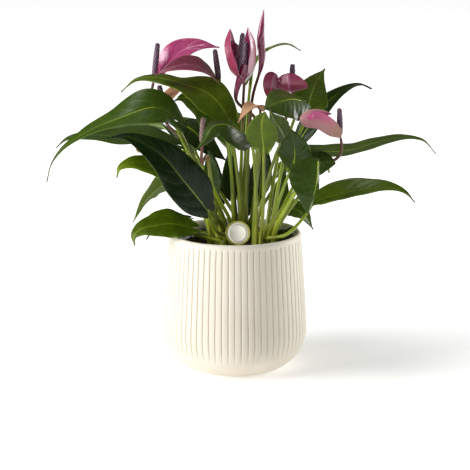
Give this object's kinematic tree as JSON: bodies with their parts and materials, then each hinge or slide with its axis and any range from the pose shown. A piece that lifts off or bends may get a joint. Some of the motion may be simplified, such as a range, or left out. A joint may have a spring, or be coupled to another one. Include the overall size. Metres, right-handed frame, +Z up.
{
  "type": "potted anthurium",
  "caption": "Potted anthurium with glossy heart-shaped leaves and pink spathes in a ribbed cream ceramic pot.",
  "frame": {"origin": "centre of the pot's flat underside", "axes": "+Z up the pot's axis, -Y toward the side that the plant faces, +X to the right seen from there"},
  "size_m": [0.4034, 0.2345, 0.3741],
  "materials": {
    "pot_cream": "matte",
    "grower_black": "satin",
    "soil_dark": "matte",
    "tag_cream": "satin",
    "stake_olive": "satin",
    "leaf_bright": "satin",
    "leaf_mid": "satin",
    "leaf_dark": "satin",
    "leaf_grey": "satin",
    "spathe_pink": "satin",
    "spathe_dusk": "satin",
    "spathe_peach": "satin",
    "spadix_plum": "matte"
  },
  "bodies": {
    "root": {"pot": "pot_cream", "grower_pot": "grower_black", "soil": "soil_dark", "tag_disc": "tag_cream", "tag_stake": "stake_olive", "leaf_crest_left": "leaf_bright", "leaf_under_crest": "leaf_mid", "leaf_far_left": "leaf_mid", "leaf_far_left_low": "leaf_dark", "leaf_dark_front": "leaf_dark", "leaf_bright_left": "leaf_bright", "leaf_pale_left": "leaf_bright", "leaf_low_left": "leaf_bright", "leaf_low_left_small": "leaf_dark", "leaf_centre_curled": "leaf_grey", "leaf_back_centre": "leaf_dark", "leaf_bright_heart": "leaf_bright", "leaf_small_bright": "leaf_bright", "leaf_roof": "leaf_grey", "leaf_back_up": "leaf_mid", "leaf_back_narrow": "leaf_dark", "leaf_right_high": "leaf_grey", "leaf_right_low": "leaf_mid", "leaf_front_drip": "leaf_dark", "leaf_round_dark": "leaf_dark", "leaf_round_side": "leaf_dark", "leaf_low_right": "leaf_mid", "leaf_inner_right": "leaf_dark", "leaf_back_top": "leaf_bright", "leaf_rear_left": "leaf_dark", "leaf_rear_middle": "leaf_mid", "leaf_rear_right": "leaf_bright", "leaf_rear_low": "leaf_bright", "bloom_left_back": "spathe_pink", "bloom_left_back_spadix": "spadix_plum", "bloom_left_front": "spathe_dusk", "bloom_left_front_spadix": "spadix_plum", "bloom_left_low": "spathe_peach", "bloom_left_low_spadix": "spadix_plum", "bloom_tulip": "spathe_pink", "bloom_tulip_spadix": "spadix_plum", "bloom_rolled": "spathe_pink", "bloom_rolled_spadix": "spadix_plum", "bloom_roof": "spathe_pink", "bloom_roof_spadix": "spadix_plum", "bloom_right": "spathe_dusk", "bloom_right_spadix": "spadix_plum", "bloom_old": "spathe_peach", "bloom_old_small": "spathe_peach", "bloom_bare": "spathe_pink", "bloom_bare_spadix": "spadix_plum", "bud": "spathe_pink"}
  },
  "joints": []
}
